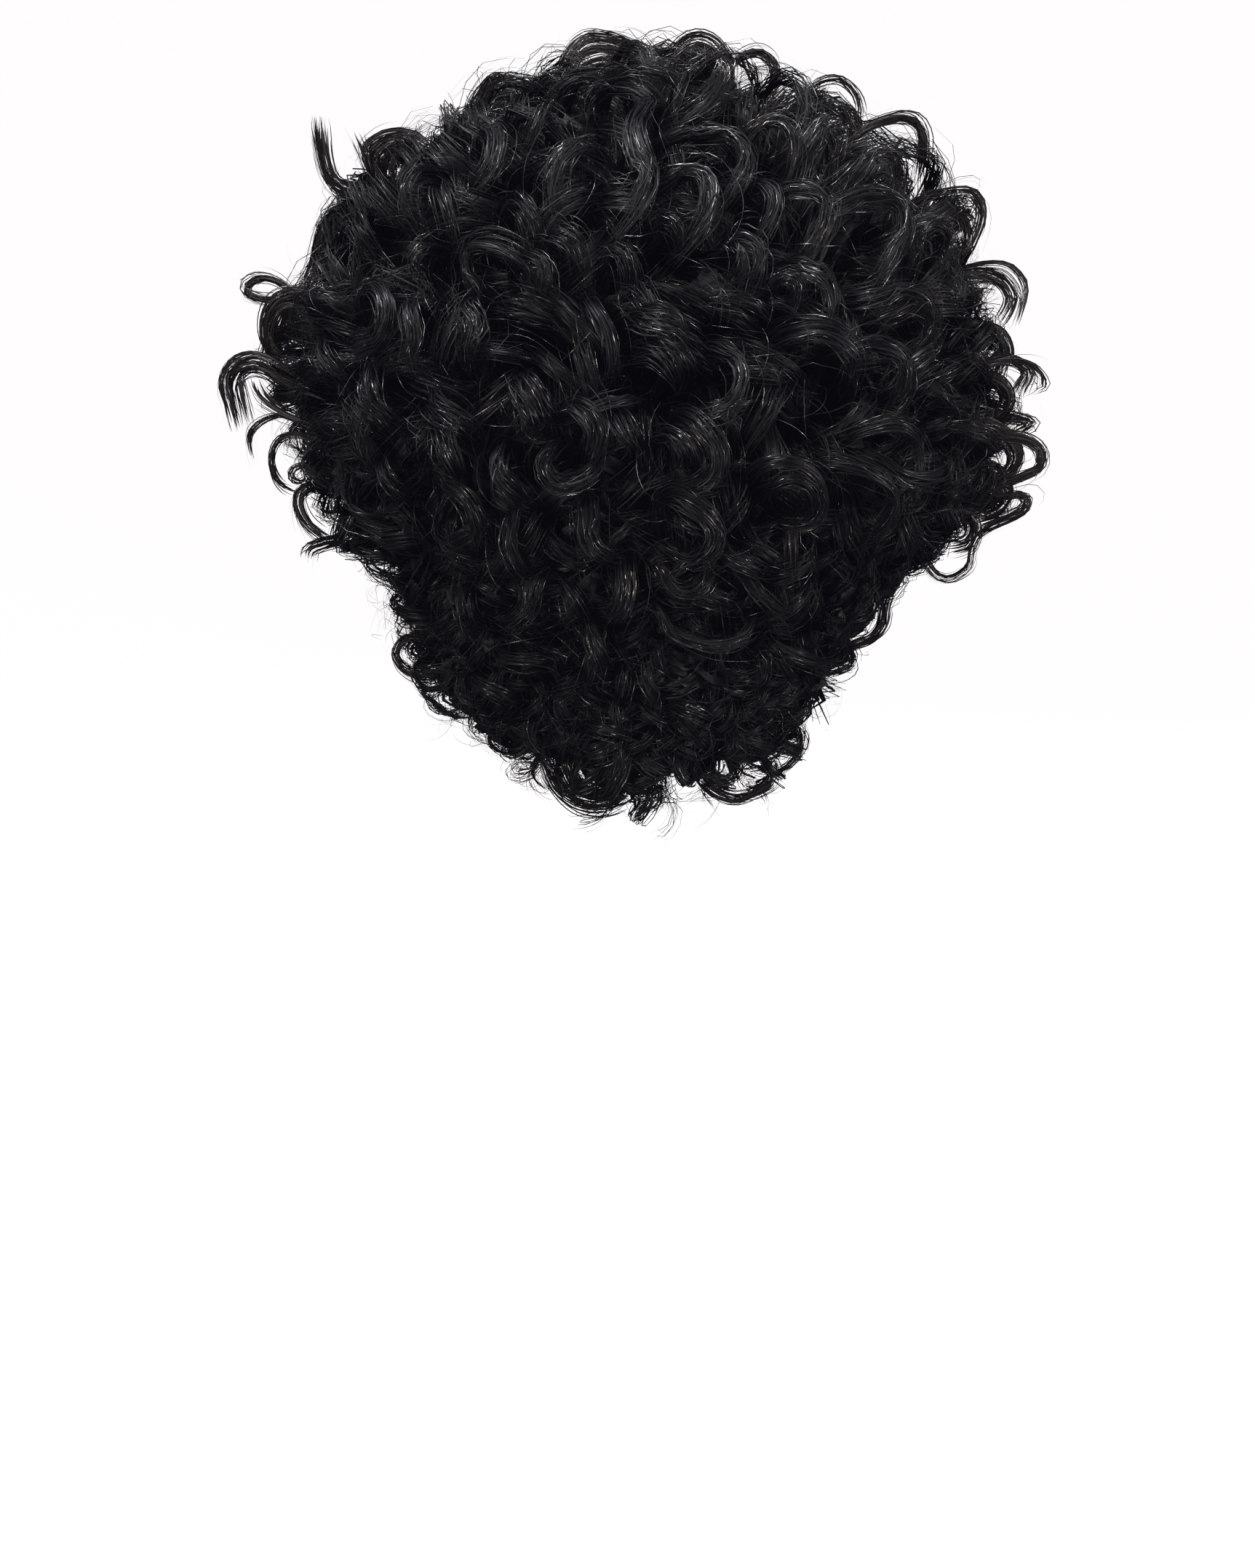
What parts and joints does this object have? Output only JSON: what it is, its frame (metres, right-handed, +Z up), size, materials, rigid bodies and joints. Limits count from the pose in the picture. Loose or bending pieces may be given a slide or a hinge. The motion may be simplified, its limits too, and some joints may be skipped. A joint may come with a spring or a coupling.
{
  "type": "curly wig",
  "caption": "Short, full black wig of corkscrew curls sewn in rows round a stretch cap, worn over the head.",
  "frame": {"origin": "the top of the head, at the highest point of the inside of the cap", "axes": "+Z up along the head, -Y the way the face looks, +Y the back of the head, X from side to side"},
  "size_m": [0.3182, 0.3161, 0.3071],
  "materials": {
    "hair": "black curled hair with a satin sheen",
    "cap_cloth": "matt black stretch net"
  },
  "bodies": {
    "root": {"cap": "cap_cloth", "crown_patch": "hair", "top_weft": "hair", "fringe_weft": "hair", "temple_weft": "hair", "ear_weft": "hair", "back_weft": "hair", "lower_weft": "hair", "nape_weft": "hair"}
  },
  "joints": []
}
